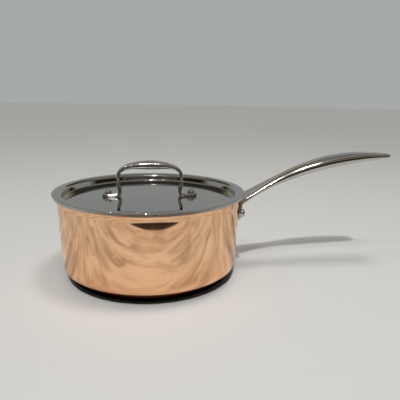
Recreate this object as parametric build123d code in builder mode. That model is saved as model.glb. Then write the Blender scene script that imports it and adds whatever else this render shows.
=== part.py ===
from build123d import *
import math
import os

os.makedirs("parts", exist_ok=True)

# Every length is in millimetres. +Z is up, the pan's axis is the Z axis, the
# underside of the base is z = 0 and the long handle points along +X.

# ---- pan: three bonded plies drawn into one dish -----------------------------
inside_radius = 90.0          # cooking vessel, 180 mm across inside at the rim
rim_height = 87.6             # top of the turned-out lip
copper_ply = 0.5
aluminium_ply = 1.2
steel_ply = 0.5
corner_radius = 20.0          # outside radius between base and wall
wall_lean = 2.2               # degrees the wall opens towards the rim
flare_radius = 2.8            # outside radius where the wall turns out to the lip
lip_flat = 0.6                # flat part of the lip, outside that bend

# ---- lid: one sheet with a flat flange and a sunk middle ---------------------
lid_rest_gap = 0.3            # between the lip and the flange resting over it
lid_sheet = 1.0
flange_overhang = 1.2         # flange beyond the lip
lid_wall_clearance = 1.6      # between the sunk part of the lid and the pan
recess_depth = 7.0            # flange top down to the plate's top
recess_slope = 1.6            # how far the recess wall runs in on its way down
recess_bend = 2.4             # bend radius on the underside of the sheet

# ---- loop handle on the lid ---------------------------------------------------
loop_width = 68.6             # across the outside of the two legs
loop_height = 36.6            # lid to the top of the loop
loop_top_thickness = 5.4
loop_leg_thickness = 3.6
loop_corner = 18.0
loop_top_breadth = 16.4       # front to back, where the fingers go
loop_leg_breadth = 10.6
foot_length = 14.0            # beyond the outside of the leg
foot_thickness = 3.2
foot_breadth = 12.6
foot_bend = 2.6               # bends between a leg and its foot
foot_corner = 4.0             # rounding of a foot seen from above
loop_edge = 1.2               # rounding of the strap's long edges

# ---- long handle ---------------------------------------------------------------
handle_length = 165.3         # pan's wall to the tip of the handle
tip_rise = 36.4               # middle of the tip above the rim
plate_drop = 10.6             # top of the mounting plate below the rim
plate_height = 20.0
plate_width = 44.0
plate_thickness = 3.8
ear_round = 6.0               # rounding of the mounting plate's outline
shoulder = 1.2                # plate beyond the strap on each side, at the top
strap_root_width = 31.0
strap_thickness = 4.4
neck_width = 16.5
grip_width = 23.0
grip_thickness = 11.6
tip_width = 18.0
tip_thickness = 3.4
tip_round = 11.0              # radius of the tip seen from above
tip_edge = 0.8                # rounding of the tip's edges
hang_hole_length = 15.0       # a long hole with round ends
hang_hole_width = 8.0
hang_hole_inset = 11.0        # hole centre to the tip of the handle

# ---- rivets ---------------------------------------------------------------------
rivet_rise = 8.5              # handle rivets above the foot of the mounting plate
rivet_spread = 13.0           # each one to the side of the handle's middle
handle_shank_radius = 2.75
handle_head_radius = 4.3
handle_head_height = 3.5
lid_rivet_inset = 5.9         # lid rivets in from the ends of the feet
lid_shank_radius = 2.25
lid_head_radius = 3.9
lid_head_height = 3.6
tail_height = 1.4             # the low head on the hidden side of every rivet

# ---- positions that follow from the sizes above ---------------------------------
wall = copper_ply + aluminium_ply + steel_ply
lean = math.radians(wall_lean)
flare_centre_z = rim_height - wall - flare_radius
flare_centre_x = inside_radius + wall + flare_radius
wall_run = (flare_centre_z - corner_radius) * math.sin(lean)
flat_radius = flare_centre_x - (corner_radius + flare_radius + wall_run) / math.cos(lean)
lip_radius = flare_centre_x + lip_flat
flange_radius = lip_radius + flange_overhang
lid_top = rim_height + lid_rest_gap + lid_sheet
lid_plate_top = lid_top - recess_depth
recess_radius = inside_radius - lid_wall_clearance
plate_top = rim_height - plate_drop
plate_bottom = plate_top - plate_height
rivet_height = plate_bottom + rivet_rise
handle_reach = inside_radius + wall + handle_length
tip_height = rim_height + tip_rise
foot_tip = loop_width / 2 + foot_length
lid_rivet_x = foot_tip - lid_rivet_inset
lid_rivet_spots = ((-lid_rivet_x, 0), (lid_rivet_x, 0))


def skin_radius(height, depth=0.0):
    """Radius of the straight wall at a height, `depth` in from the copper's skin."""
    across = flat_radius + (corner_radius - depth) / math.cos(lean)
    return across + (height - corner_radius) * math.tan(lean)


def dish_section(depth):
    """Half section of everything on the food side of a surface `depth` inside the skin."""
    over_the_rim = rim_height + 5
    with BuildSketch(Plane.XZ) as section:
        with BuildLine():
            floor = Line((0, depth), (flat_radius, depth))
            corner = CenterArc(
                (flat_radius, corner_radius), corner_radius - depth, -90, 90 - wall_lean
            )
            flare = CenterArc(
                (flare_centre_x, flare_centre_z), flare_radius + depth, 180 - wall_lean, wall_lean - 90
            )
            Line(corner @ 1, flare @ 0)
            lip = Line(flare @ 1, (lip_radius, (flare @ 1).Y))
            Polyline(lip @ 1, (lip_radius, over_the_rim), (0, over_the_rim), floor @ 0)
        make_face()
    return section.sketch


def rivet_plane(side):
    """Plane on the pan's axis at rivet height, its normal running out through a rivet."""
    turn = side * math.asin(rivet_spread / skin_radius(rivet_height))
    return Plane(
        origin=(0, 0, rivet_height),
        x_dir=(0, 0, 1),
        z_dir=(math.cos(turn), math.sin(turn), 0),
    )


def rivet_blank(shank_radius, grip, head_radius, head_height):
    """A rivet on the Z axis: low tail under z = 0, shank `grip` long, domed head on top."""
    with BuildPart() as blank:
        with BuildSketch(Plane.XZ):
            with BuildLine():
                crown = (0, grip + head_height)
                foot = (0, -tail_height)
                head = TangentArc(crown, (head_radius, grip + head_height * 0.3), tangent=(1, 0))
                tail = TangentArc(foot, (head_radius, -tail_height * 0.3), tangent=(1, 0))
                Polyline(
                    head @ 1,
                    (head_radius, grip),
                    (shank_radius, grip),
                    (shank_radius, 0),
                    (head_radius, 0),
                    tail @ 1,
                )
                Line(crown, foot)
            make_face()
        revolve(axis=Axis.Z)
    return blank.part


# ================================ the three plies ================================

with BuildPart() as copper_shell:
    with BuildSketch(Plane.XZ):
        add(dish_section(0))
        add(dish_section(copper_ply), mode=Mode.SUBTRACT)
    revolve(axis=Axis.Z)
    for side in (-1, 1):
        with BuildSketch(rivet_plane(side).offset(inside_radius / 2)):
            Circle(handle_shank_radius)
        extrude(amount=inside_radius, mode=Mode.SUBTRACT)

with BuildPart() as aluminium_core:
    with BuildSketch(Plane.XZ):
        add(dish_section(copper_ply))
        add(dish_section(copper_ply + aluminium_ply), mode=Mode.SUBTRACT)
    revolve(axis=Axis.Z)
    for side in (-1, 1):
        with BuildSketch(rivet_plane(side).offset(inside_radius / 2)):
            Circle(handle_shank_radius)
        extrude(amount=inside_radius, mode=Mode.SUBTRACT)

with BuildPart() as steel_lining:
    with BuildSketch(Plane.XZ):
        add(dish_section(copper_ply + aluminium_ply))
        add(dish_section(wall), mode=Mode.SUBTRACT)
    revolve(axis=Axis.Z)
    for side in (-1, 1):
        with BuildSketch(rivet_plane(side).offset(inside_radius / 2)):
            Circle(handle_shank_radius)
        extrude(amount=inside_radius, mode=Mode.SUBTRACT)

# ================================= long handle ==================================

# Centre line of strap and grip, from inside the mounting plate out to the tip.
root_x = skin_radius(plate_top) + strap_thickness * 0.3
root_z = plate_top - strap_thickness * 0.36
reach = handle_reach - root_x
rise = tip_height - root_z
centre_line = Spline(
    (root_x, root_z),
    (root_x + reach * 0.26, root_z + rise * 0.48),
    (root_x + reach * 0.60, root_z + rise * 0.87),
    (root_x + reach, root_z + rise),
    tangents=((0.84, 0.54), (1.0, 0.0)),
)

# Width and thickness at even shares of the way along that line.
handle_stations = (
    (0.00, strap_root_width, strap_thickness),
    (0.08, strap_root_width * 0.80, strap_thickness),
    (0.17, strap_root_width * 0.64, strap_thickness * 1.2),
    (0.28, neck_width, grip_thickness * 0.66),
    (0.40, neck_width * 1.12, grip_thickness * 0.88),
    (0.55, grip_width * 0.96, grip_thickness),
    (0.70, grip_width, grip_thickness * 0.97),
    (0.84, grip_width * 0.94, grip_thickness * 0.72),
    (0.94, grip_width * 0.85, grip_thickness * 0.42),
    (1.00, tip_width, tip_thickness),
)

with BuildPart() as long_handle:
    # Mounting plate: a ring lying on the wall, cut to a rounded ear shape.
    with BuildSketch(Plane.XZ):
        with BuildLine():
            Polyline(
                (skin_radius(plate_bottom - 2), plate_bottom - 2),
                (skin_radius(plate_bottom - 2) + plate_thickness, plate_bottom - 2),
                (skin_radius(plate_top) + plate_thickness, plate_top),
                (skin_radius(plate_top), plate_top),
                close=True,
            )
        make_face()
    revolve(axis=Axis.Z)
    with BuildSketch(Plane.YZ) as ear:
        with BuildLine():
            Polyline(
                (-strap_root_width / 2 - shoulder, plate_top),
                (-plate_width / 2, rivet_height),
                (-plate_width / 4, plate_bottom),
                (plate_width / 4, plate_bottom),
                (plate_width / 2, rivet_height),
                (strap_root_width / 2 + shoulder, plate_top),
                close=True,
            )
        make_face()
        fillet(ear.vertices().group_by(Axis.Y)[0], radius=ear_round)
        fillet(ear.vertices().group_by(Axis.X)[0], radius=ear_round)
        fillet(ear.vertices().group_by(Axis.X)[-1], radius=ear_round)
    extrude(amount=flange_radius * 1.2, mode=Mode.INTERSECT)

    # Strap and grip: rounded sections strung along the centre line.
    for share, width, thickness in handle_stations:
        spot = centre_line @ share
        heading = centre_line % share
        station = Plane(
            origin=(spot.X, 0, spot.Y),
            x_dir=(0, 1, 0),
            z_dir=(heading.X, 0, heading.Y),
        )
        with BuildSketch(station):
            RectangleRounded(width, thickness, thickness * 0.46)
    loft()

    # Round end, seen from above, and the hole to hang the pan by.
    with BuildSketch(Plane.XY):
        with Locations((handle_reach - tip_round, 0)):
            Circle(tip_round)
            Rectangle(handle_reach, plate_width * 1.1, align=(Align.MAX, Align.CENTER))
    extrude(amount=tip_height * 1.2, mode=Mode.INTERSECT)
    with BuildSketch(Plane.XY):
        with Locations((handle_reach - hang_hole_inset, 0)):
            SlotOverall(hang_hole_length, hang_hole_width)
    extrude(amount=tip_height * 1.2, mode=Mode.SUBTRACT)
    end_rim = long_handle.edges().filter_by(lambda e: e.center().X > handle_reach - tip_round / 2)
    fillet(end_rim.filter_by(lambda e: e.length > 3 and abs(e.center().Y) > 0.5), radius=tip_edge)
    for side in (-1, 1):
        with BuildSketch(rivet_plane(side).offset(inside_radius / 2)):
            Circle(handle_shank_radius)
        extrude(amount=inside_radius, mode=Mode.SUBTRACT)

# ================================ handle rivets =================================

handle_grip = wall + plate_thickness
handle_seat = skin_radius(rivet_height) - wall
around_handle_rivets = copper_shell.part + aluminium_core.part + steel_lining.part + long_handle.part
handle_rivet = rivet_blank(
    handle_shank_radius, handle_grip, handle_head_radius, handle_head_height
)

with BuildPart() as handle_rivet_near:
    with Locations(rivet_plane(-1).offset(handle_seat)):
        add(handle_rivet)
    add(around_handle_rivets, mode=Mode.SUBTRACT)

with BuildPart() as handle_rivet_far:
    with Locations(rivet_plane(1).offset(handle_seat)):
        add(handle_rivet)
    add(around_handle_rivets, mode=Mode.SUBTRACT)

# ====================================== lid ======================================

with BuildPart() as lid:
    with BuildSketch(Plane.XZ):
        with BuildLine():
            FilletPolyline(
                (0, lid_plate_top - lid_sheet),
                (recess_radius - recess_slope, lid_plate_top - lid_sheet),
                (recess_radius, lid_top - lid_sheet),
                (flange_radius, lid_top - lid_sheet),
                radius=recess_bend,
            )
            offset(amount=lid_sheet, side=Side.LEFT)
        make_face()
    revolve(axis=Axis.Z)
    fillet(lid.edges().filter_by(GeomType.CIRCLE).sort_by(SortBy.RADIUS)[-2:], radius=lid_sheet * 0.4)
    with BuildSketch(Plane.XY.offset(lid_plate_top)):
        with Locations(*lid_rivet_spots):
            Circle(lid_shank_radius)
    extrude(amount=-2 * lid_sheet, mode=Mode.SUBTRACT)

# ================================== loop handle ==================================

with BuildPart() as lid_handle:
    # Seen from the front: strap, legs and the two feet turned outwards.
    with BuildSketch(Plane.XZ) as strap:
        with Locations((0, lid_plate_top)):
            Rectangle(loop_width, loop_height, align=(Align.CENTER, Align.MIN))
        fillet(strap.vertices().group_by(Axis.Y)[-1], radius=loop_corner)
        with Locations((0, lid_plate_top)):
            Rectangle(2 * foot_tip, foot_thickness, align=(Align.CENTER, Align.MIN))
        with BuildSketch(mode=Mode.PRIVATE) as finger_gap:
            with Locations((0, lid_plate_top - foot_thickness)):
                Rectangle(
                    loop_width - 2 * loop_leg_thickness,
                    loop_height + foot_thickness - loop_top_thickness,
                    align=(Align.CENTER, Align.MIN),
                )
            fillet(finger_gap.vertices().group_by(Axis.Y)[-1], radius=loop_corner - loop_leg_thickness)
        add(finger_gap.sketch, mode=Mode.SUBTRACT)
        low = strap.vertices().filter_by(lambda v: v.Y < lid_plate_top + foot_thickness * 1.1)
        fillet(low.filter_by(lambda v: abs(v.X) < foot_tip - 1), radius=foot_bend)
    extrude(amount=loop_top_breadth, both=True)
    # Seen from the side: broad for the fingers, waisted at the legs.
    with BuildSketch(Plane.YZ):
        with BuildLine():
            foot_edge = Line(
                (foot_breadth / 2, lid_plate_top), (foot_breadth / 2, lid_plate_top + foot_thickness)
            )
            waist = Spline(
                foot_edge @ 1,
                (loop_leg_breadth / 2, lid_plate_top + loop_height * 0.4),
                (loop_top_breadth / 2, lid_plate_top + loop_height),
                tangents=((0, 1), (0, 1)),
            )
            mirror(foot_edge, about=Plane.YZ)
            mirror(waist, about=Plane.YZ)
            Line((-loop_top_breadth / 2, (waist @ 1).Y), waist @ 1)
            Line((-foot_breadth / 2, lid_plate_top), foot_edge @ 0)
        make_face()
    extrude(amount=foot_tip, both=True, mode=Mode.INTERSECT)
    foot_corners = lid_handle.edges().filter_by(Axis.Z)
    fillet(foot_corners.filter_by(lambda e: abs(e.center().X) > foot_tip - 1), radius=foot_corner)
    # Ease every long edge; the flat undersides of the feet stay sharp.
    upper = lid_handle.edges().filter_by(lambda e: e.center().Z > lid_plate_top + foot_thickness * 0.4)
    long_edges = upper.filter_by(lambda e: abs(e.center().Y) > foot_breadth * 0.3)
    long_edges = long_edges.filter_by(Axis.Y, reverse=True)
    standing = long_edges.filter_by(Axis.Z).filter_by(lambda e: abs(e.center().X) > foot_tip - foot_corner - 1)
    fillet([e for e in long_edges if e not in standing], radius=loop_edge)
    with BuildSketch(Plane.XY.offset(lid_plate_top)):
        with Locations(*lid_rivet_spots):
            Circle(lid_shank_radius)
    extrude(amount=2 * foot_thickness, mode=Mode.SUBTRACT)

# =================================== lid rivets ===================================

lid_grip = lid_sheet + foot_thickness
lid_rivet_seat = lid_plate_top - lid_sheet
lid_rivet = rivet_blank(lid_shank_radius, lid_grip, lid_head_radius, lid_head_height)

with BuildPart() as lid_rivet_left:
    with Locations((-lid_rivet_x, 0, lid_rivet_seat)):
        add(lid_rivet)

with BuildPart() as lid_rivet_right:
    with Locations((lid_rivet_x, 0, lid_rivet_seat)):
        add(lid_rivet)

# ===================================== export =====================================

copper_shell.part.label = "copper_shell"
aluminium_core.part.label = "aluminium_core"
steel_lining.part.label = "steel_lining"
long_handle.part.label = "long_handle"
handle_rivet_near.part.label = "handle_rivet_near"
handle_rivet_far.part.label = "handle_rivet_far"
lid.part.label = "lid"
lid_handle.part.label = "lid_handle"
lid_rivet_left.part.label = "lid_rivet_left"
lid_rivet_right.part.label = "lid_rivet_right"

export_step(copper_shell.part, "parts/copper_shell.step")
export_step(aluminium_core.part, "parts/aluminium_core.step")
export_step(steel_lining.part, "parts/steel_lining.step")
export_step(long_handle.part, "parts/long_handle.step")
export_step(handle_rivet_near.part, "parts/handle_rivet_near.step")
export_step(handle_rivet_far.part, "parts/handle_rivet_far.step")
export_step(lid.part, "parts/lid.step")
export_step(lid_handle.part, "parts/lid_handle.step")
export_step(lid_rivet_left.part, "parts/lid_rivet_left.step")
export_step(lid_rivet_right.part, "parts/lid_rivet_right.step")
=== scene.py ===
import bmesh
import bpy
import math
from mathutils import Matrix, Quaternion, Vector


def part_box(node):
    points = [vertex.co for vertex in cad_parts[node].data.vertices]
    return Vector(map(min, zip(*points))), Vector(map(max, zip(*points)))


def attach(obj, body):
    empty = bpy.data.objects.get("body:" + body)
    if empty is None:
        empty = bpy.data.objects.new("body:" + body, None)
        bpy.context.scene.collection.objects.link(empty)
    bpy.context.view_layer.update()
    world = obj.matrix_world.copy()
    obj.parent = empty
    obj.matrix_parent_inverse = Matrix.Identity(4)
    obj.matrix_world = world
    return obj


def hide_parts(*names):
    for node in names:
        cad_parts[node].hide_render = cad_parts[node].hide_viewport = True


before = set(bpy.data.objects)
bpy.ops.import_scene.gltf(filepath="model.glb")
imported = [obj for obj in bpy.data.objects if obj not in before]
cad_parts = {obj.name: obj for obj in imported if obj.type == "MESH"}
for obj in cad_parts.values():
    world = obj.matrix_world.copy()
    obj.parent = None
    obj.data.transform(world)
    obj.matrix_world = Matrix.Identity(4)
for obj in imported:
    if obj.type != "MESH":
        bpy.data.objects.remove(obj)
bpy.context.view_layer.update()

# ================================= copper shell =================================
# The pan's outer skin: a thin sheet of copper, bonded to the plies inside it,
# spun to a flat floor, a slightly open wall and a lip turned out at the rim, then
# polished on the wheel. It is toned in soft clouds. Its foot carries painted shade,
# near black, standing in for the shadowed floor that the rounded foot mirrors.

mm = 0.001
inside_radius = 90.0 * mm
rim_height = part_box("steel_lining")[1].z
copper_ply = 0.5 * mm
aluminium_ply = 1.2 * mm
steel_ply = 0.5 * mm
wall = copper_ply + aluminium_ply + steel_ply
corner_radius = 20.0 * mm
wall_lean = 2.2
flare_radius = 2.8 * mm
lean = math.radians(wall_lean)
lip_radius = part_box("copper_shell")[1].x
flare_x = inside_radius + wall + flare_radius
flare_z = rim_height - wall - flare_radius
wall_run = (flare_z - corner_radius) * math.sin(lean)
floor_radius = flare_x - (corner_radius + flare_radius + wall_run) / math.cos(lean)
edge_round = 0.14 * mm
corner_steps = 18
flare_steps = 12


def arc(centre, radius, start, end, steps):
    """Points along an arc in the plane of a half outline, angles in degrees."""
    turns = [math.radians(start + (end - start) * i / steps) for i in range(steps + 1)]
    return [(centre[0] + radius * math.cos(a), centre[1] + radius * math.sin(a)) for a in turns]


def dish_line(depth):
    """The pan's section `depth` inside its skin, from the axis out to the lip."""
    corner = arc((floor_radius, corner_radius), corner_radius - depth, -90, -wall_lean, corner_steps)
    flare = arc((flare_x, flare_z), flare_radius + depth, 180 - wall_lean, 90, flare_steps)
    return [(0.0, depth), *corner, *flare]


def skin_radius(height):
    """Radius of the copper's straight wall at a height."""
    across = floor_radius + corner_radius / math.cos(lean)
    return across + (height - corner_radius) * math.tan(lean)


def lathe(name, outline, steps=192):
    """Draws a half outline point by point and spins it about the Z axis."""
    bpy.ops.object.select_all(action="DESELECT")
    bpy.ops.mesh.primitive_plane_add(size=mm, location=(0, 0, 0))
    piece = bpy.context.object
    piece.name = piece.data.name = name
    bpy.ops.object.mode_set(mode="EDIT")
    bpy.ops.mesh.select_mode(type="VERT")
    bpy.ops.mesh.select_all(action="SELECT")
    bpy.ops.mesh.merge(type="CENTER")
    bpy.ops.transform.translate(value=(outline[0][0], 0, outline[0][1]))
    for near, far in zip(outline, outline[1:]):
        step = (far[0] - near[0], 0, far[1] - near[1])
        bpy.ops.mesh.extrude_vertices_move(TRANSFORM_OT_translate={"value": step})
    bpy.ops.mesh.select_all(action="SELECT")
    bpy.ops.mesh.spin(steps=steps, angle=math.tau, center=(0, 0, 0), axis=(0, 0, 1))
    bpy.ops.mesh.select_all(action="SELECT")
    bpy.ops.mesh.remove_doubles(threshold=0.002 * mm)
    bpy.ops.mesh.normals_make_consistent(inside=False)
    bpy.ops.object.mode_set(mode="OBJECT")
    bpy.ops.object.shade_smooth_by_angle(angle=math.radians(32))
    return piece


def new_metal(name, color, roughness, scratch_scale=(900, 900, 900), scratch_depth=0.02, wave=0.0):
    """Starts a polished metal: base finish, fine scratches and slow waves as bump.

    Returns the material with its shader, node tree and texture-coordinate node.
    """
    material = bpy.data.materials.new(name)
    material.use_nodes = True
    tree = material.node_tree
    shader = tree.nodes["Principled BSDF"]
    shader.inputs["Metallic"].default_value = 1.0
    shader.inputs["Base Color"].default_value = (*color, 1)
    place = tree.nodes.new("ShaderNodeTexCoord")
    grain_map = tree.nodes.new("ShaderNodeMapping")
    grain_map.inputs["Scale"].default_value = scratch_scale
    tree.links.new(place.outputs["Object"], grain_map.inputs["Vector"])
    grain = tree.nodes.new("ShaderNodeTexNoise")
    grain.inputs["Scale"].default_value = 1.0
    grain.inputs["Detail"].default_value = 3.0
    tree.links.new(grain_map.outputs["Vector"], grain.inputs["Vector"])
    # Wiping marks: the polish is a little duller in soft patches.
    wipe = tree.nodes.new("ShaderNodeTexNoise")
    wipe.inputs["Scale"].default_value = 34.0
    wipe.inputs["Detail"].default_value = 5.0
    wipe.inputs["Distortion"].default_value = 0.8
    tree.links.new(place.outputs["Object"], wipe.inputs["Vector"])
    dull = tree.nodes.new("ShaderNodeMapRange")
    dull.inputs["From Min"].default_value = 0.35
    dull.inputs["From Max"].default_value = 0.70
    dull.inputs["To Min"].default_value = roughness[0]
    dull.inputs["To Max"].default_value = roughness[1]
    tree.links.new(wipe.outputs["Fac"], dull.inputs["Value"])
    tree.links.new(dull.outputs["Result"], shader.inputs["Roughness"])
    scratch = tree.nodes.new("ShaderNodeBump")
    scratch.inputs["Strength"].default_value = scratch_depth
    scratch.inputs["Distance"].default_value = 0.05 * mm
    tree.links.new(grain.outputs["Fac"], scratch.inputs["Height"])
    if wave:
        # The sheet was never perfectly flat: slow waves bend what it mirrors.
        slow = tree.nodes.new("ShaderNodeTexNoise")
        slow.inputs["Scale"].default_value = 22.0
        slow.inputs["Detail"].default_value = 1.0
        tree.links.new(place.outputs["Object"], slow.inputs["Vector"])
        swell = tree.nodes.new("ShaderNodeBump")
        swell.inputs["Strength"].default_value = wave
        swell.inputs["Distance"].default_value = 1.0 * mm
        tree.links.new(slow.outputs["Fac"], swell.inputs["Height"])
        tree.links.new(swell.outputs["Normal"], scratch.inputs["Normal"])
    tree.links.new(scratch.outputs["Normal"], shader.inputs["Normal"])
    return material, shader, tree, place


copper, shader, tree, place = new_metal(
    "polished_copper", (0.93, 0.56, 0.34), (0.025, 0.075), scratch_depth=0.03, wave=0.10
)
# Handling clouds: long warm and pale swirls, browner where the metal has toned.
cloud_map = tree.nodes.new("ShaderNodeMapping")
cloud_map.inputs["Rotation"].default_value = (0.5, 0.3, 0.4)
cloud_map.inputs["Scale"].default_value = (14, 14, 26)
tree.links.new(place.outputs["Object"], cloud_map.inputs["Vector"])
cloud = tree.nodes.new("ShaderNodeTexNoise")
cloud.inputs["Scale"].default_value = 1.0
cloud.inputs["Detail"].default_value = 6.0
cloud.inputs["Roughness"].default_value = 0.55
cloud.inputs["Distortion"].default_value = 0.8
tree.links.new(cloud_map.outputs["Vector"], cloud.inputs["Vector"])
toning = tree.nodes.new("ShaderNodeValToRGB")
toning.color_ramp.elements[0].position = 0.34
toning.color_ramp.elements[0].color = (0.85, 0.50, 0.29, 1)
toning.color_ramp.elements[1].position = 0.66
toning.color_ramp.elements[1].color = (0.96, 0.61, 0.37, 1)
middle = toning.color_ramp.elements.new(0.50)
middle.color = (0.94, 0.57, 0.34, 1)
tree.links.new(cloud.outputs["Fac"], toning.inputs["Fac"])
# Painted shade: the rounded foot of the wall is darkened near black, down to the
# flat base, standing in for the shadowed floor it mirrors.
height = tree.nodes.new("ShaderNodeSeparateXYZ")
tree.links.new(place.outputs["Object"], height.inputs["Vector"])
up_foot = tree.nodes.new("ShaderNodeMapRange")
up_foot.inputs["From Max"].default_value = corner_radius
tree.links.new(height.outputs["Z"], up_foot.inputs["Value"])
painted_foot_shade = tree.nodes.new("ShaderNodeValToRGB")
painted_foot_shade.color_ramp.elements[0].position = 0.015
painted_foot_shade.color_ramp.elements[0].color = (0.62, 0.50, 0.45, 1)
painted_foot_shade.color_ramp.elements[1].position = 0.68
painted_foot_shade.color_ramp.elements[1].color = (1.0, 1.0, 1.0, 1)
painted_foot_shade_stops = ((0.05, (0.06, 0.04, 0.03)), (0.45, (0.04, 0.025, 0.02)), (0.61, (0.10, 0.06, 0.045)))
for share, dark in painted_foot_shade_stops:
    stop = painted_foot_shade.color_ramp.elements.new(share)
    stop.color = (*dark, 1)
tree.links.new(up_foot.outputs["Result"], painted_foot_shade.inputs["Fac"])
# The clouds' random toning is multiplied by the painted foot shade.
toned_and_shaded = tree.nodes.new("ShaderNodeMix")
toned_and_shaded.data_type = "RGBA"
toned_and_shaded.blend_type = "MULTIPLY"
toned_and_shaded.inputs[0].default_value = 1.0
tree.links.new(toning.outputs["Color"], toned_and_shaded.inputs[6])
tree.links.new(painted_foot_shade.outputs["Color"], toned_and_shaded.inputs[7])
tree.links.new(toned_and_shaded.outputs[2], shader.inputs["Base Color"])
# The painted foot shade also darkens the foot's reflection through the specular tint.
tree.links.new(painted_foot_shade.outputs["Color"], shader.inputs["Specular Tint"])

# Under the lip the skin sweeps outwards slowly before the tight bend begins.
sweep_start = rim_height - 8.5 * mm
sweep_end = rim_height - 4.4 * mm
sweep_angle = math.radians(10)
sweep_steps = 8


def outer_skin():
    """The copper's outer line, from the axis out to the lip."""
    points = dish_line(0)[: corner_steps + 2]
    length = sweep_end - sweep_start
    for i in range(sweep_steps + 1):
        height = sweep_start + length * i / sweep_steps
        drift = math.tan(sweep_angle) * length * (i / sweep_steps) ** 2 / 2
        points.append((skin_radius(height) + drift, height))
    tilt = lean + sweep_angle
    under_lip = rim_height - wall
    bend = (under_lip - sweep_end) / (1 - math.sin(tilt))
    centre = (points[-1][0] + bend * math.cos(tilt), under_lip - bend)
    return points + arc(centre, bend, 180 - math.degrees(tilt), 90, flare_steps)[1:]


outer = outer_skin()
inner = dish_line(copper_ply)
copper_shell = lathe(
    "copper_shell_skin",
    [
        *outer,
        *arc((lip_radius - edge_round, outer[-1][1] + edge_round), edge_round, -90, 0, 4),
        (lip_radius, inner[-1][1]),
        *reversed(inner),
    ],
)
copper_shell.data.materials.append(copper)
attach(copper_shell, "pan")
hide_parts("copper_shell")

# ================================ aluminium core ================================
# The middle ply that spreads the heat. Only its cut edge shows, as a grey line
# between copper and steel at the lip. It is dull metal, and it is kept darker than bare
# aluminium as painted shade for the gap under the lid. The imported solid keeps its shape.

dull_and_shaded_aluminium, shader, tree, place = new_metal(
    "dull_aluminium_with_painted_shade", (0.52, 0.52, 0.53), (0.32, 0.48), scratch_scale=(300, 300, 2500),
    scratch_depth=0.25,
)
for material_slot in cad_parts["aluminium_core"].material_slots:
    material_slot.material = dull_and_shaded_aluminium

# ================================= steel lining =================================
# The food side of the pan: thin stainless steel bonded inside the aluminium. It
# is brushed in fine rings by a pad held against the turning pan.


def ring_brushing(tree, place, shader, rings, depth):
    """Adds concentric brush marks, read from the distance to the pan's axis."""
    apart = tree.nodes.new("ShaderNodeSeparateXYZ")
    tree.links.new(place.outputs["Object"], apart.inputs["Vector"])
    flat = tree.nodes.new("ShaderNodeCombineXYZ")
    tree.links.new(apart.outputs["X"], flat.inputs["X"])
    tree.links.new(apart.outputs["Y"], flat.inputs["Y"])
    out = tree.nodes.new("ShaderNodeVectorMath")
    out.operation = "LENGTH"
    tree.links.new(flat.outputs["Vector"], out.inputs[0])
    along = tree.nodes.new("ShaderNodeCombineXYZ")
    tree.links.new(out.outputs["Value"], along.inputs["X"])
    tree.links.new(apart.outputs["Z"], along.inputs["Y"])
    marks = tree.nodes.new("ShaderNodeTexNoise")
    marks.noise_dimensions = "2D"
    marks.inputs["Scale"].default_value = rings
    marks.inputs["Detail"].default_value = 4.0
    tree.links.new(along.outputs["Vector"], marks.inputs["Vector"])
    brushed = tree.nodes.new("ShaderNodeBump")
    brushed.inputs["Strength"].default_value = depth
    brushed.inputs["Distance"].default_value = 0.05 * mm
    tree.links.new(marks.outputs["Fac"], brushed.inputs["Height"])
    before = shader.inputs["Normal"].links[0].from_socket
    tree.links.new(before, brushed.inputs["Normal"])
    tree.links.new(brushed.outputs["Normal"], shader.inputs["Normal"])
    return marks


brushed_steel, shader, tree, place = new_metal(
    "brushed_lining_steel", (0.66, 0.65, 0.63), (0.20, 0.30), scratch_depth=0.04
)
ring_brushing(tree, place, shader, 1900.0, 0.35)

outer = dish_line(copper_ply + aluminium_ply)
inner = dish_line(wall)
steel_lining = lathe(
    "steel_lining_skin",
    [
        *outer,
        (lip_radius, outer[-1][1]),
        *arc((lip_radius - edge_round, inner[-1][1] - edge_round), edge_round, 0, 90, 4),
        *reversed(inner),
    ],
)
steel_lining.data.materials.append(brushed_steel)
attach(steel_lining, "pan")
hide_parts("steel_lining")

# ================================= long handle ==================================
# One stainless forging: an ear that lies on the wall and takes the rivets, a flat
# strap rising out of it, a waist, an oval grip and a thin round tip with a hole to
# hang the pan by. It is polished all over.

plate_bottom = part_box("long_handle")[0].z
plate_top = plate_bottom + 20.0 * mm
plate_thickness = 3.8 * mm
handle_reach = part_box("long_handle")[1].x
strap_thickness = 4.4 * mm
tip_height = rim_height + 36.4 * mm
bend_radius = 5.0 * mm
hole_x = handle_reach - 11.0 * mm
hole_length = 15.0 * mm
hole_radius = 4.0 * mm


def pick(mesh, test):
    """Selects just the vertices that pass a test on their place."""
    bm = bmesh.from_edit_mesh(mesh)
    bm.select_mode = {"VERT"}
    for face in bm.faces:
        face.select = False
    for edge in bm.edges:
        edge.select = False
    for vert in bm.verts:
        vert.select = test(vert.co)
    bm.select_flush_mode()
    bmesh.update_edit_mesh(mesh, loop_triangles=False, destructive=False)


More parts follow.
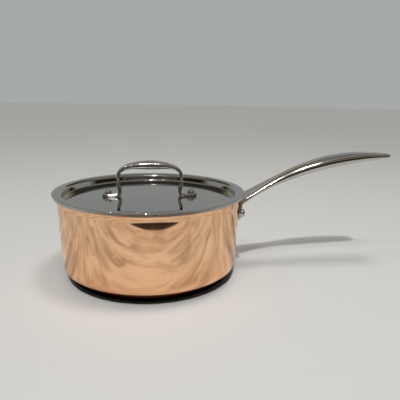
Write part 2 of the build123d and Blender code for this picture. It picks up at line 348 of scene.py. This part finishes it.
def forge(name, stations):
    """Draws a bar out ring by ring, then sets each ring to its station.

    A station is (x, z, heading in degrees, width across Y, thickness). Each ring
    is a circle as thick as the bar, its halves moved apart to give the width.
    """
    bench = -1.0                        # the straight bar starts here, clear of the pan
    gap = 1.0 * mm
    radius = 0.5
    corners = 20
    half_step = math.pi / corners       # turns the ring so that a flat side lies on top
    bpy.ops.object.select_all(action="DESELECT")
    bpy.ops.mesh.primitive_circle_add(
        vertices=corners, radius=radius, fill_type="NGON", location=(bench, 0, 0),
        rotation=(0, math.pi / 2, 0),
    )
    piece = bpy.context.object
    piece.name = piece.data.name = name
    bpy.ops.object.transform_apply(location=True, rotation=True, scale=True)
    mesh = piece.data
    bpy.ops.object.mode_set(mode="EDIT")
    bpy.ops.mesh.select_mode(type="VERT")
    bpy.ops.mesh.select_all(action="SELECT")
    bpy.ops.transform.rotate(value=half_step, orient_axis="X", center_override=(bench, 0, 0))
    half_flat = radius * math.sin(half_step)
    pick(mesh, lambda co: abs(co.y) < half_flat * 1.2)
    bpy.ops.mesh.subdivide(number_cuts=3)
    bpy.ops.mesh.select_all(action="SELECT")
    for _ in stations[1:]:
        bpy.ops.mesh.extrude_region_move(TRANSFORM_OT_translate={"value": (gap, 0, 0)})
    for i, (x, z, heading, width, thickness) in enumerate(stations):
        here = bench + i * gap
        spread = (width - thickness) / 2
        at_ring = lambda co: abs(co.x - here) < gap / 4 and abs(co.z) < 2
        pick(mesh, at_ring)
        bpy.ops.transform.resize(value=(1, thickness, thickness), center_override=(here, 0, 0))
        side = half_flat * thickness * 0.9
        for hand in (-1, 1):
            pick(mesh, lambda co: at_ring(co) and co.y * hand > side)
            bpy.ops.transform.translate(value=(0, hand * spread, 0))
        pick(mesh, lambda co: at_ring(co) and abs(co.y) < side)
        grow = (spread + half_flat * thickness) / (half_flat * thickness)
        bpy.ops.transform.resize(value=(1, grow, 1), center_override=(here, 0, 0))
        pick(mesh, at_ring)
        bpy.ops.transform.rotate(
            value=math.radians(heading), orient_axis="Y", center_override=(here, 0, 0)
        )
        bpy.ops.transform.translate(value=(x - here, 0, z))
    bpy.ops.mesh.select_all(action="SELECT")
    bpy.ops.mesh.normals_make_consistent(inside=False)
    bpy.ops.object.mode_set(mode="OBJECT")
    return piece


def smooth_between(rows, share):
    """Value at a share of the way along rows of (share, value), on a smooth curve."""
    i = max(k for k in range(len(rows) - 1) if rows[k][0] <= share or k == 0)
    (s1, v1), (s2, v2) = rows[i], rows[i + 1]
    s0, v0 = rows[i - 1] if i else (s1, v1)
    s3, v3 = rows[i + 2] if i + 2 < len(rows) else (s2, v2)
    slope1 = (v2 - v0) / (s2 - s0)
    slope2 = (v3 - v1) / (s3 - s1)
    t, span = (share - s1) / (s2 - s1), s2 - s1
    return (
        v1 * (1 + 2 * t) * (1 - t) ** 2
        + slope1 * span * t * (1 - t) ** 2
        + v2 * t * t * (3 - 2 * t)
        - slope2 * span * t * t * (1 - t)
    )


# Centre line of strap and grip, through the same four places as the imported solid's.
root = Vector((skin_radius(plate_top) + strap_thickness * 0.3, plate_top - strap_thickness * 0.36))
run = Vector((handle_reach, tip_height)) - root
knots = [
    root,
    root + Vector((run.x * 0.26, run.y * 0.48)),
    root + Vector((run.x * 0.60, run.y * 0.87)),
    root + run,
]
spans = [(b - a).length for a, b in zip(knots, knots[1:])]
first_slope = Vector((0.84, 0.54))
slopes = [first_slope, Vector((1, 0.4)), Vector((1, 0.2)), Vector((1.0, 0.0))]
for _ in range(30):                     # settles to the curve with no jump in bend
    for i in (1, 2):
        before, after = spans[i - 1], spans[i]
        pull = (knots[i] - knots[i - 1]) * (3 / before**2) + (knots[i + 1] - knots[i]) * (3 / after**2)
        slopes[i] = (pull - slopes[i - 1] / before - slopes[i + 1] / after) / (2 / before + 2 / after)


def centre_line(share):
    """Place and heading on the handle's centre line at a share of its length."""
    way = share * sum(spans)
    i = 0
    while i < 2 and way > spans[i]:
        way -= spans[i]
        i += 1
    t, span = way / spans[i], spans[i]
    a, b, m, n = knots[i], knots[i + 1], slopes[i] * span, slopes[i + 1] * span
    spot = (
        a * (1 + 2 * t) * (1 - t) ** 2
        + m * t * (1 - t) ** 2
        + b * t * t * (3 - 2 * t)
        - n * t * t * (1 - t)
    )
    pace = (
        a * (6 * t * t - 6 * t)
        + m * (3 * t * t - 4 * t + 1)
        + b * (6 * t - 6 * t * t)
        + n * (3 * t * t - 2 * t)
    )
    return spot, math.degrees(math.atan2(pace.y, pace.x))


strap_widths = (
    (0.00, 31.0), (0.08, 24.8), (0.17, 19.8), (0.28, 16.5), (0.40, 18.5),
    (0.55, 22.1), (0.70, 23.0), (0.84, 21.6), (0.94, 20.2), (1.00, 19.4),
)
strap_thicknesses = (
    (0.00, 4.4), (0.08, 4.4), (0.17, 5.3), (0.28, 7.7), (0.40, 10.2),
    (0.55, 11.6), (0.70, 11.3), (0.84, 8.4), (0.94, 4.9), (1.00, 3.4),
)
# The ear, seen from the pan's axis: (height above its foot, width, thickness).
ear_rows = (
    (0.1, 15.0, 2.2), (0.5, 20.0, 3.2), (1.4, 23.6, 3.8), (3.0, 27.4, 3.8), (5.2, 33.6, 3.8),
    (7.2, 38.6, 3.8), (8.8, 40.9, 3.8), (10.4, 40.6, 3.8), (12.4, 38.4, 3.8), (14.6, 35.8, 3.9),
)
up_wall = 90 - wall_lean
stations = []
for rise, width, thickness in ear_rows:
    height = plate_bottom + rise * mm
    stations.append(
        (skin_radius(height) + plate_thickness / 2, height, up_wall, width * mm, thickness * mm)
    )
# Above the ear the strap bends outwards into its rise.
start_z = plate_bottom + 16.2 * mm
start_x = skin_radius(start_z) + plate_thickness / 2
first_heading = math.degrees(math.atan2(first_slope.y, first_slope.x))
bend_steps = 5
for i in range(bend_steps + 1):
    heading = up_wall - (up_wall - first_heading) * i / bend_steps
    turn = math.radians(heading)
    stations.append((
        start_x + bend_radius * (math.cos(lean) - math.sin(turn)),
        start_z + bend_radius * (math.cos(turn) - math.sin(lean)),
        heading,
        (34.2 - 0.75 * i) * mm,
        (3.9 + 0.1 * i) * mm,
    ))
first_share = 0.045
share_step = 0.026
for i in range(34):
    share = first_share + share_step * i
    spot, heading = centre_line(share)
    if spot.x > hole_x - hole_length / 2 - 1.8 * mm:
        break
    width = smooth_between(strap_widths, share) * mm
    thickness = smooth_between(strap_thicknesses, share) * mm
    stations.append((spot.x, spot.y, heading, width, thickness))


def share_at(x):
    """Share of the centre line whose place is at x."""
    low, high = 0.0, 1.0
    for _ in range(40):
        half = (low + high) / 2
        low, high = (half, high) if centre_line(half)[0].x < x else (low, half)
    return low


tip_round = 11.0 * mm
tip_centre = handle_reach - tip_round
tip_edge = 1.8 * mm                     # the last stretch thins to a rounded edge
hole_rows = [hole_x + hole_length * (i / 4 - 0.5) for i in range(5)]
end_rows = [handle_reach - left * mm for left in (2.3, 1.3, 0.6, 0.2, 0.02)]
for x in (*hole_rows, *end_rows):
    share = share_at(x)
    spot, heading = centre_line(share)
    width = smooth_between(strap_widths, share) * mm
    past = max(0.0, x - tip_centre)
    width = min(width, 2 * math.sqrt(max(0.0, tip_round**2 - past**2)))
    thickness = smooth_between(strap_thicknesses, share) * mm
    left = handle_reach - x
    thickness *= min(1.0, 0.42 + 0.58 * math.sqrt(min(1.0, left / tip_edge)))
    stations.append((x, spot.y, heading, max(width, thickness * 1.4), thickness))

long_handle = forge("long_handle_forging", stations)

# The hanging hole: the middle faces above and below are cut out and joined up.
hole_strip = 3.6 * mm                   # half the width of the faces cut out
hole_swell = 1.06                       # made up for what softening takes back
mesh = long_handle.data
bpy.ops.object.mode_set(mode="EDIT")
bm = bmesh.from_edit_mesh(mesh)
for face in bm.faces:
    at = face.calc_center_median()
    in_hole = abs(at.x - hole_x) < hole_length / 2 and abs(at.y) < hole_strip
    face.select = in_hole and abs(face.normal.z) > 0.8
bmesh.update_edit_mesh(mesh)
bpy.ops.mesh.delete(type="FACE")
bm = bmesh.from_edit_mesh(mesh)
straight = hole_length / 2 - hole_radius
for vert in {v for edge in bm.edges if edge.is_boundary for v in edge.verts}:
    from_end = vert.co.x - hole_x
    end = max(-straight, min(straight, from_end))
    away = Vector((from_end - end, vert.co.y))
    away.length = hole_radius * hole_swell
    vert.co.x, vert.co.y = hole_x + end + away.x, away.y
for edge in bm.edges:
    edge.select = edge.is_boundary
bm.select_flush_mode()
bmesh.update_edit_mesh(mesh)
bpy.ops.mesh.select_mode(type="EDGE")
bpy.ops.mesh.bridge_edge_loops()
bpy.ops.mesh.select_all(action="SELECT")
bpy.ops.mesh.normals_make_consistent(inside=False)
bpy.ops.object.mode_set(mode="OBJECT")

# The ear is set back at its sides so that it hugs the round wall.
setback = long_handle.vertex_groups.new(name="setback")
deepest = 2.6 * mm
fade_length = 14.0 * mm                 # how far from the wall the setback dies out
for vert in mesh.vertices:
    x, y, z = vert.co
    radius = skin_radius(z)
    back = radius - math.sqrt(max(0.0, radius**2 - y * y))
    near = min(1.0, max(0.0, 1.0 - (x - radius - plate_thickness) / fade_length))
    setback.add([vert.index], min(1.0, near * back / deepest), "REPLACE")
hug = long_handle.modifiers.new("hug_wall", "DISPLACE")
hug.direction = "X"
hug.mid_level = 0.0
hug.strength = -deepest
hug.vertex_group = "setback"
bpy.ops.object.modifier_apply(modifier="hug_wall")
soften = long_handle.modifiers.new("soften", "SUBSURF")
soften.levels = soften.render_levels = 2
bpy.ops.object.modifier_apply(modifier="soften")
bpy.ops.object.shade_smooth()

forged_steel, shader, tree, place = new_metal(
    "polished_handle_steel", (0.60, 0.59, 0.575), (0.09, 0.14), scratch_scale=(500, 1400, 1400),
    scratch_depth=0.02, wave=0.05,
)
long_handle.data.materials.append(forged_steel)
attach(long_handle, "pan")
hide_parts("long_handle")

# ================================ handle rivets =================================
# Two steel rivets hold the ear to the wall. Each has a domed head outside, a shank
# through the plies and a low head set flat on the food side.

rivet_steel, shader, tree, place = new_metal(
    "polished_rivet_steel", (0.62, 0.61, 0.60), (0.06, 0.13), scratch_scale=(1600, 1600, 1600),
    scratch_depth=0.08,
)


def rivet(name, shank, grip, head, height):
    """A rivet on the Z axis with its grip starting at z = 0 and its dome on top."""
    tail = 1.4 * mm
    rim = height * 0.12
    dome = [
        (head * math.sin(math.radians(a)), grip + rim + (height - rim) * math.cos(math.radians(a)))
        for a in range(0, 91, 6)
    ]
    low_rim = tail * 0.3
    low_dome = [
        (head * math.sin(math.radians(a)), -low_rim - (tail - low_rim) * math.cos(math.radians(a)))
        for a in range(90, -1, -6)
    ]
    outline = [
        *dome, (head * 0.985, grip), (shank, grip), (shank, 0.0), (head * 0.985, 0.0), *low_dome
    ]
    return lathe(name, outline, steps=48)


rivet_height = plate_bottom + 8.5 * mm
rivet_spread = 13.0 * mm
for name, hand in (("near", -1), ("far", 1)):
    turn = hand * math.asin(rivet_spread / skin_radius(rivet_height))
    piece = rivet(
        f"handle_rivet_{name}_domed", 2.75 * mm, wall + plate_thickness, 4.3 * mm, 3.5 * mm
    )
    seat = skin_radius(rivet_height) - wall
    piece.rotation_euler = (0, math.pi / 2, turn)
    piece.location = (seat * math.cos(turn), seat * math.sin(turn), rivet_height)
    bpy.ops.object.transform_apply(location=True, rotation=True, scale=True)
    piece.data.materials.append(rivet_steel)
    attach(piece, "pan")
    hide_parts(f"handle_rivet_{name}")

# ====================================== lid =====================================
# Pressed from one stainless sheet: a flat flange that rests over the lip, a short
# wall sunk inside the pan and a plate with a very low dome, all mirror polished.

flange_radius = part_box("lid")[1].x
lid_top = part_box("lid")[1].z
lid_sheet = 1.0 * mm
lid_plate_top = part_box("lid")[0].z + lid_sheet
recess_radius = inside_radius - 1.6 * mm
recess_slope = 1.6 * mm
recess_bend = 2.4 * mm
plate_under = lid_plate_top - lid_sheet
flange_under = lid_top - lid_sheet
plate_crown = 0.9 * mm                  # the plate is pressed a little domed
plate_edge_drop = 0.55 * mm
steepness = math.degrees(math.atan2(flange_under - plate_under, recess_slope))
# Underside of the sheet: plate, bend up, wall, bend out, flange.
reach_of_bend = recess_bend * math.tan(math.radians(steepness / 2))
low_bend = (
    recess_radius - recess_slope - reach_of_bend, plate_under - plate_edge_drop + recess_bend
)
high_bend = (recess_radius + reach_of_bend, flange_under - recess_bend)
cut_round = 0.4 * mm
crown_steps = 12
crown = [
    (low_bend[0] * i / crown_steps, plate_crown * (1 - (i / crown_steps) ** 2) - plate_edge_drop)
    for i in range(crown_steps)
]
under = [
    *((radius, plate_under + rise) for radius, rise in crown),
    *arc(low_bend, recess_bend, -90, steepness - 90, 12),
    *arc(high_bend, recess_bend, 90 + steepness, 90, 12),
]
over = [
    *arc(high_bend, recess_bend + lid_sheet, 90, 90 + steepness, 14),
    *arc(low_bend, recess_bend - lid_sheet, steepness - 90, -90, 12),
    *((radius, lid_plate_top + rise) for radius, rise in reversed(crown)),
]
lid = lathe(
    "lid_pressing",
    [
        *under,
        *arc((flange_radius - cut_round, flange_under + cut_round), cut_round, -90, 0, 6),
        *arc((flange_radius - cut_round, lid_top - cut_round), cut_round, 0, 90, 6),
        *over,
    ],
)
mirror_steel, shader, tree, place = new_metal(
    "mirror_lid_steel", (0.55, 0.545, 0.53), (0.05, 0.10), scratch_scale=(700, 700, 700),
    scratch_depth=0.035, wave=0.05,
)
ring_brushing(tree, place, shader, 700.0, 0.05)
lid.data.materials.append(mirror_steel)
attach(lid, "lid")
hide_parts("lid")

# ================================== loop handle =================================
# A cast steel loop: an arched grip, broad and thick in its middle, on two slim legs
# that bow out a little, with a foot turned out at each end and riveted to the lid.

foot_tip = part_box("lid_handle")[1].x
loop_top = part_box("lid_handle")[1].z
foot_thickness = 3.2 * mm
leg_thickness = 3.6 * mm
top_thickness = 8.8 * mm
foot_breadth = 12.6 * mm
top_breadth = 2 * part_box("lid_handle")[1].y
leg_x = 34.3 * mm - leg_thickness / 2
leg_bow = 2.0 * mm                      # the legs lean out on their way up by this
foot_bend = 3.6 * mm
foot_z = lid_plate_top + foot_thickness / 2
top_z = loop_top - top_thickness / 2
arch_foot = loop_top - 19.5 * mm        # where the legs turn into the arch
arch_rise = top_z - arch_foot
arch_power = 2 / 3.0                    # 1 would be an ellipse, less is squarer

# Half the loop from the tip of its foot to the middle of its top, then its twin.
half = []
foot_round = 5.0                        # mm from the tip to the foot's full breadth
foot_edge = 0.9                         # mm from the tip to its full thickness
for past in (0.05, 0.35, 0.9, 1.8, 3.2, 5.0, 7.4, 9.8, 12.0):
    narrow = math.sqrt(1 - max(0.0, 1 - past / foot_round) ** 2)
    breadth = foot_breadth * (0.36 + 0.64 * narrow)
    edge = foot_thickness * min(1.0, 0.62 + 0.38 * past / foot_edge)
    half.append((-foot_tip + past * mm, foot_z - (foot_thickness - edge) / 2, 0, breadth, edge))
leg_low = foot_z + foot_bend * 1.34
leg_run = arch_foot - leg_low
turned = 90 + math.degrees(math.atan(2 * leg_bow / leg_run))
bend_start = -leg_x + leg_bow - foot_bend * math.sin(math.radians(turned))
foot_steps = 6
for i in range(foot_steps + 1):
    turn = math.radians(turned * i / foot_steps)
    half.append((
        bend_start + foot_bend * math.sin(turn),
        foot_z + foot_bend * (1 - math.cos(turn)),
        turned * i / foot_steps,
        foot_breadth - 0.9 * mm * i / foot_steps,
        foot_thickness + (leg_thickness - foot_thickness) * i / foot_steps,
    ))
leg_foot = half[-1][1]
breadths = ((0.0, 11.7), (0.35, 10.7), (0.7, 10.9), (1.0, 11.6))
leg_steps = 6
for i in range(1, leg_steps):
    share = i / leg_steps
    outward = leg_bow * (1 - share) ** 2
    heading = 90 + math.degrees(math.atan(2 * leg_bow * (1 - share) / leg_run))
    height = leg_foot + (arch_foot - leg_foot) * share
    breadth = smooth_between(breadths, share) * mm
    half.append((-leg_x + outward, height, heading, breadth, leg_thickness))


def arch(turn):
    """A place on the loop's arch, `turn` degrees on from the top of the leg."""
    angle = math.radians(turn)
    along = math.cos(angle) ** arch_power if turn < 90 else 0.0
    return Vector((-leg_x * along, arch_foot + arch_rise * math.sin(angle) ** arch_power))


arch_steps = 18
for i in range(arch_steps):
    share = i / arch_steps
    turn = 90 * share**1.15
    pace = arch(turn + 0.5) - arch(max(0.0, turn - 0.5))
    half.append((
        arch(turn).x,
        arch(turn).y,
        math.degrees(math.atan2(pace.y, pace.x)),
        (11.6 + 4.6 * math.sin(share * math.pi / 2)) * mm,
        leg_thickness + (top_thickness - leg_thickness) * share**3.6,
    ))
middle_ring = (0.0, top_z, 0, top_breadth, top_thickness)
twin = [(-x, z, -heading, width, thickness) for x, z, heading, width, thickness in reversed(half)]
lid_loop = forge("lid_loop_strap", [*half, middle_ring, *twin])
soften = lid_loop.modifiers.new("soften", "SUBSURF")
soften.levels = soften.render_levels = 2
bpy.ops.object.modifier_apply(modifier="soften")
bpy.ops.object.shade_smooth()

loop_steel, shader, tree, place = new_metal(
    "polished_loop_steel", (0.60, 0.595, 0.58), (0.05, 0.10), scratch_scale=(600, 1500, 1500),
    scratch_depth=0.05, wave=0.03,
)
lid_loop.data.materials.append(loop_steel)
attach(lid_loop, "lid")
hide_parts("lid_handle")

# ================================== lid rivets ==================================
# A steel rivet through each foot of the loop, its head a high dome on the foot and
# its low tail on the underside of the plate.

for name, hand in (("left", -1), ("right", 1)):
    piece = rivet(
        f"lid_rivet_{name}_domed", 2.25 * mm, lid_sheet + foot_thickness, 3.9 * mm, 3.6 * mm
    )
    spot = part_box(f"lid_rivet_{name}")
    piece.location = ((spot[0].x + spot[1].x) / 2, 0, plate_under)
    bpy.ops.object.transform_apply(location=True, rotation=True, scale=True)
    piece.data.materials.append(rivet_steel)
    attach(piece, "lid")
    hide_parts(f"lid_rivet_{name}")

# ================================= floor and light ==============================
# A floor that is pale and plain to the camera, under a small sun from the front, a
# soft light from above and four small lamps. Mirror rays meet another room: a grey
# wall behind the pan and a dim warm front, past the edge of a veined worktop.

bpy.ops.object.select_all(action="DESELECT")
bpy.ops.mesh.primitive_circle_add(vertices=96, radius=9.0, fill_type="NGON", location=(0, 0, 0))
floor = bpy.context.object
floor.name = floor.data.name = "floor"
stone = bpy.data.materials.new("pale_floor")
stone.use_nodes = True
tree = stone.node_tree
# The floor itself is plain. Only mirror rays meet the veined stone.
shader = tree.nodes["Principled BSDF"]
shader.inputs["Roughness"].default_value = 0.45
shader.inputs["Specular IOR Level"].default_value = 0.3
place = tree.nodes.new("ShaderNodeTexCoord")
lie = tree.nodes.new("ShaderNodeMapping")
lie.inputs["Rotation"].default_value = (0, 0, 0.5)
lie.inputs["Scale"].default_value = (11, 52, 1)
veins = tree.nodes.new("ShaderNodeTexNoise")
veins.inputs["Scale"].default_value = 1.0
veins.inputs["Detail"].default_value = 7.0
veins.inputs["Distortion"].default_value = 0.8
vein_colors = tree.nodes.new("ShaderNodeValToRGB")
vein_colors.color_ramp.elements[0].position = 0.34
vein_colors.color_ramp.elements[0].color = (0.52, 0.47, 0.43, 1)
vein_colors.color_ramp.elements[1].position = 0.60
vein_colors.color_ramp.elements[1].color = (0.86, 0.86, 0.84, 1)
plain_or_veined = tree.nodes.new("ShaderNodeMix")
plain_or_veined.data_type = "RGBA"
plain_or_veined.inputs[6].default_value = (0.80, 0.80, 0.785, 1)
path = tree.nodes.new("ShaderNodeLightPath")
tree.links.new(place.outputs["Object"], lie.inputs["Vector"])
tree.links.new(lie.outputs["Vector"], veins.inputs["Vector"])
tree.links.new(veins.outputs["Fac"], vein_colors.inputs["Fac"])
tree.links.new(vein_colors.outputs["Color"], plain_or_veined.inputs[7])
tree.links.new(path.outputs["Is Glossy Ray"], plain_or_veined.inputs[0])
tree.links.new(plain_or_veined.outputs[2], shader.inputs["Base Color"])
floor.data.materials.append(stone)

# A dark card past the worktop's front edge, seen only by mirror rays.
worktop_edge = -0.2645
edge_turn = math.radians(4)
flag_width, flag_depth = 8.0, 6.0
flag_y = worktop_edge - flag_depth / 2 / math.cos(edge_turn)
bpy.ops.object.select_all(action="DESELECT")
bpy.ops.mesh.primitive_plane_add(
    size=1.0, location=(0, flag_y, 0.0006), rotation=(0, 0, edge_turn)
)
flag = bpy.context.object
flag.name = flag.data.name = "dark_flag"
flag.scale = (flag_width, flag_depth, 1)
bpy.ops.object.transform_apply(location=True, rotation=True, scale=True)
shade = bpy.data.materials.new("dark_felt")
shade.use_nodes = True
shader = shade.node_tree.nodes["Principled BSDF"]
shader.inputs["Base Color"].default_value = (0.012, 0.007, 0.005, 1)
shader.inputs["Roughness"].default_value = 0.9
flag.data.materials.append(shade)
flag.visible_camera = False
flag.visible_diffuse = False
flag.visible_shadow = False

world = bpy.data.worlds.new("studio")
bpy.context.scene.world = world
world.use_nodes = True
tree = world.node_tree
tree.nodes.clear()
output = tree.nodes.new("ShaderNodeOutputWorld")
path = tree.nodes.new("ShaderNodeLightPath")
place = tree.nodes.new("ShaderNodeTexCoord")
apart = tree.nodes.new("ShaderNodeSeparateXYZ")
tree.links.new(place.outputs["Generated"], apart.inputs["Vector"])


def sky(stops):
    """A colour by height above the horizon, from (height, colour) stops."""
    ramp = tree.nodes.new("ShaderNodeValToRGB")
    tree.links.new(apart.outputs["Z"], ramp.inputs["Fac"])
    for i, (height, color) in enumerate(stops):
        if i < 2:
            stop = ramp.color_ramp.elements[i]
            stop.position = height
        else:
            stop = ramp.color_ramp.elements.new(height)
        stop.color = (*color, 1)
    return ramp.outputs["Color"]


front = sky((
    (0.00, (0.020, 0.014, 0.010)), (1.00, (0.20, 0.19, 0.18)), (0.30, (0.016, 0.010, 0.007)),
    (0.35, (0.50, 0.40, 0.22)), (0.42, (0.55, 0.46, 0.28)), (0.47, (0.03, 0.024, 0.02)),
    (0.62, (0.05, 0.045, 0.04)), (0.80, (0.30, 0.29, 0.27)),
))
back = sky((
    (0.00, (0.33, 0.34, 0.335)), (1.00, (0.20, 0.19, 0.18)), (0.31, (0.31, 0.32, 0.315)),
    (0.36, (0.46, 0.40, 0.24)), (0.42, (0.05, 0.04, 0.03)), (0.56, (0.06, 0.055, 0.05)),
    (0.66, (0.12, 0.11, 0.10)), (0.80, (0.30, 0.29, 0.27)),
))
front_to_back = tree.nodes.new("ShaderNodeMapRange")
front_to_back.inputs["From Min"].default_value = -0.12
front_to_back.inputs["From Max"].default_value = 0.12
tree.links.new(apart.outputs["Y"], front_to_back.inputs["Value"])
walls = tree.nodes.new("ShaderNodeMix")
walls.data_type = "RGBA"
tree.links.new(front_to_back.outputs["Result"], walls.inputs[0])
tree.links.new(front, walls.inputs[6])
tree.links.new(back, walls.inputs[7])
room = tree.nodes.new("ShaderNodeBackground")
tree.links.new(walls.outputs[2], room.inputs["Color"])
glow = tree.nodes.new("ShaderNodeBackground")
glow.inputs["Color"].default_value = (0.09, 0.09, 0.088, 1)
backdrop = tree.nodes.new("ShaderNodeBackground")
backdrop.inputs["Color"].default_value = (0.38, 0.40, 0.39, 1)
for_diffuse = tree.nodes.new("ShaderNodeMixShader")
tree.links.new(path.outputs["Is Diffuse Ray"], for_diffuse.inputs["Fac"])
tree.links.new(room.outputs["Background"], for_diffuse.inputs[1])
tree.links.new(glow.outputs["Background"], for_diffuse.inputs[2])
for_camera = tree.nodes.new("ShaderNodeMixShader")
tree.links.new(path.outputs["Is Camera Ray"], for_camera.inputs["Fac"])
tree.links.new(for_diffuse.outputs["Shader"], for_camera.inputs[1])
tree.links.new(backdrop.outputs["Background"], for_camera.inputs[2])
tree.links.new(for_camera.outputs["Shader"], output.inputs["Surface"])


def studio_light(name, kind, place, power, size, color=(1, 1, 1)):
    """A light at a place, pointed at the middle of the pan."""
    lamp = bpy.data.lights.new(name, kind)
    if kind == "SUN":
        lamp.angle = math.radians(size)
    else:
        lamp.shape = "DISK"
        lamp.size = size
    lamp.energy = power
    lamp.color = color
    holder = bpy.data.objects.new(name, lamp)
    bpy.context.scene.collection.objects.link(holder)
    holder.location = place
    holder.rotation_mode = "QUATERNION"
    holder.rotation_quaternion = (Vector((0, 0, 0.06)) - Vector(place)).to_track_quat("-Z", "Y")
    return holder


studio_light("front_key", "SUN", (-0.12, -0.86, 1.26), 1.50, 3.0, color=(1.0, 0.99, 0.97))
fill = studio_light("upper_fill", "AREA", (0.22, -0.12, 1.28), 3.8, 0.30, color=(1.0, 0.98, 0.95))
fill.visible_glossy = False
lamp_spots = ((0.10, -0.62), (-0.016, -0.62), (-0.34, -0.62), (-0.62, -0.25))
lamp_height = 1.15
for number, (x, y) in enumerate(lamp_spots):
    studio_light(f"small_lamp_{number}", "AREA", (x, y, lamp_height), 0.6, 0.026)

# The camera stands a little above the rim in front of the pan, turned a touch to
# the handle's side.
camera_data = bpy.data.cameras.new("camera")
camera_data.lens = 38.7
camera_data.sensor_width = 36.0
camera = bpy.data.objects.new("camera", camera_data)
bpy.context.scene.collection.objects.link(camera)
yaw, pitch, roll = 0.1186, 0.2359, 0.0175
ahead = Vector((math.sin(yaw) * math.cos(pitch), math.cos(yaw) * math.cos(pitch), -math.sin(pitch)))
camera.rotation_mode = "QUATERNION"
camera.location = (0.0, -0.4368, 0.1824)
level = ahead.to_track_quat("-Z", "Y")
camera.rotation_quaternion = level @ Quaternion((0, 0, 1), roll)
bpy.context.scene.camera = camera
bpy.context.scene.view_settings.view_transform = "Standard"
